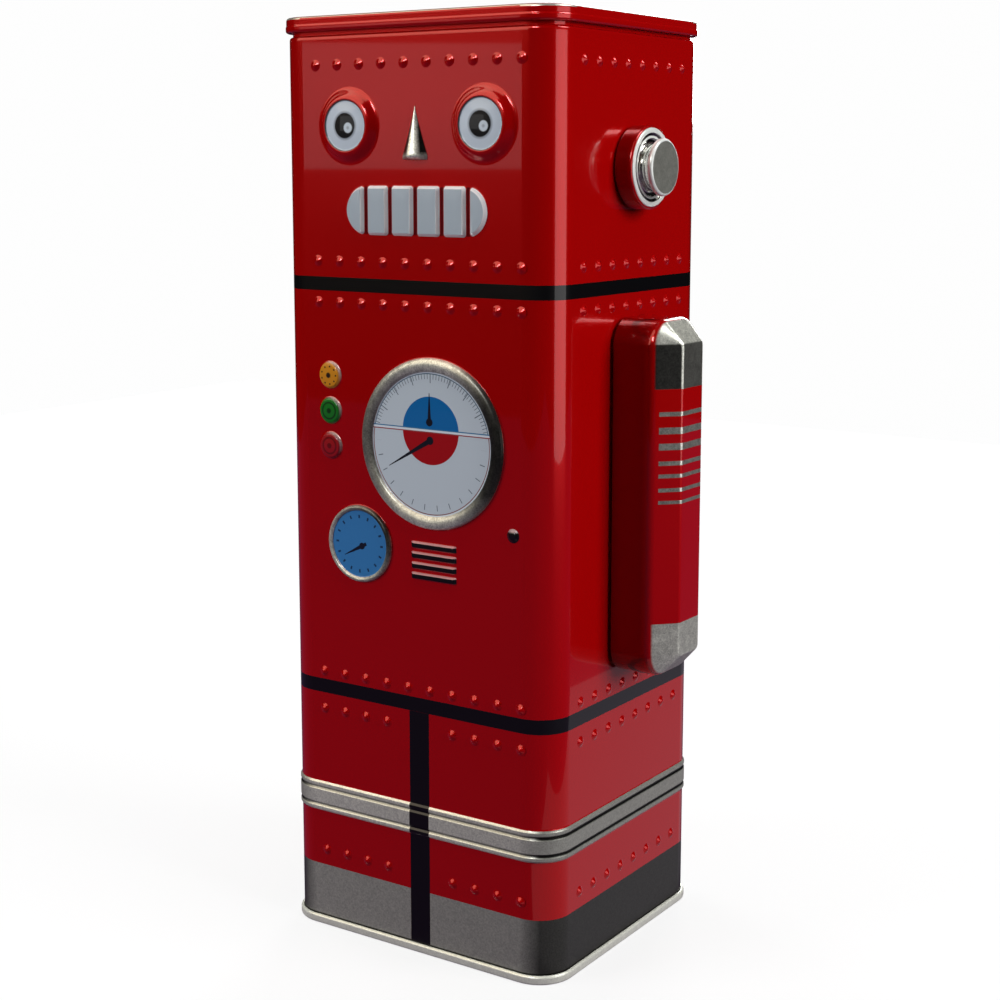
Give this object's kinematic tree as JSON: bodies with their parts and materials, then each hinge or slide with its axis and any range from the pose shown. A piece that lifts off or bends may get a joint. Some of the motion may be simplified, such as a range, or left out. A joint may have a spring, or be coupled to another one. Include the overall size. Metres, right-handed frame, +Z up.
{
  "type": "robot storage tin",
  "caption": "Tall box of printed tinplate in the shape of a robot, with a lift-off lid, two swinging pressed arms on shoulder rivets and turning ear knobs.",
  "frame": {"origin": "middle of the footprint, on the surface that the tin stands on", "axes": "+Z up; the robot's face looks along -Y, so +X is the robot's own left"},
  "size_m": [0.1346, 0.0896, 0.2718],
  "materials": {
    "red_print": "gloss lithograph print under clear varnish, red with silver, black, white and blue details",
    "bare_tin": "bare tinplate, satin",
    "bright_knob": "bright plated rim with a satin face",
    "zinc_steel": "zinc-plated steel"
  },
  "bodies": {
    "tin": {"body_shell": "red_print", "base_plate": "bare_tin", "arm_left_spacer_washer": "zinc_steel", "arm_left_inner_washer": "zinc_steel", "ear_left_inner_washer": "zinc_steel", "arm_right_spacer_washer": "zinc_steel", "arm_right_inner_washer": "zinc_steel", "ear_right_inner_washer": "zinc_steel"},
    "lid": {"lid": "red_print"},
    "arm_left": {"arm_left_shell": "red_print", "arm_left_back_plate": "bare_tin", "arm_left_rivet": "zinc_steel", "arm_left_spring_washer": "zinc_steel"},
    "arm_right": {"arm_right_shell": "red_print", "arm_right_back_plate": "bare_tin", "arm_right_rivet": "zinc_steel", "arm_right_spring_washer": "zinc_steel"},
    "ear_left": {"ear_left_cup": "red_print", "ear_left_knob": "bright_knob", "ear_left_rivet": "zinc_steel"},
    "ear_right": {"ear_right_cup": "red_print", "ear_right_knob": "bright_knob", "ear_right_rivet": "zinc_steel"}
  },
  "joints": [
    {"name": "lid_lift", "type": "slide", "parent": "tin", "child": "lid", "axis": [0, 0, 1], "range_m": [0, 0.06]},
    {"name": "arm_left_swing", "type": "hinge", "parent": "tin", "child": "arm_left", "pos_m": [0.0475, 0, 0.1752], "axis": [-1, 0, 0], "range_deg": [-145, 145]},
    {"name": "arm_right_swing", "type": "hinge", "parent": "tin", "child": "arm_right", "pos_m": [-0.0475, 0, 0.1752], "axis": [-1, 0, 0], "range_deg": [-145, 145]},
    {"name": "ear_left_turn", "type": "hinge", "parent": "tin", "child": "ear_left", "pos_m": [0.0475, 0, 0.2294], "axis": [1, 0, 0], "continuous": true},
    {"name": "ear_right_turn", "type": "hinge", "parent": "tin", "child": "ear_right", "pos_m": [-0.0475, 0, 0.2294], "axis": [-1, 0, 0], "continuous": true}
  ]
}
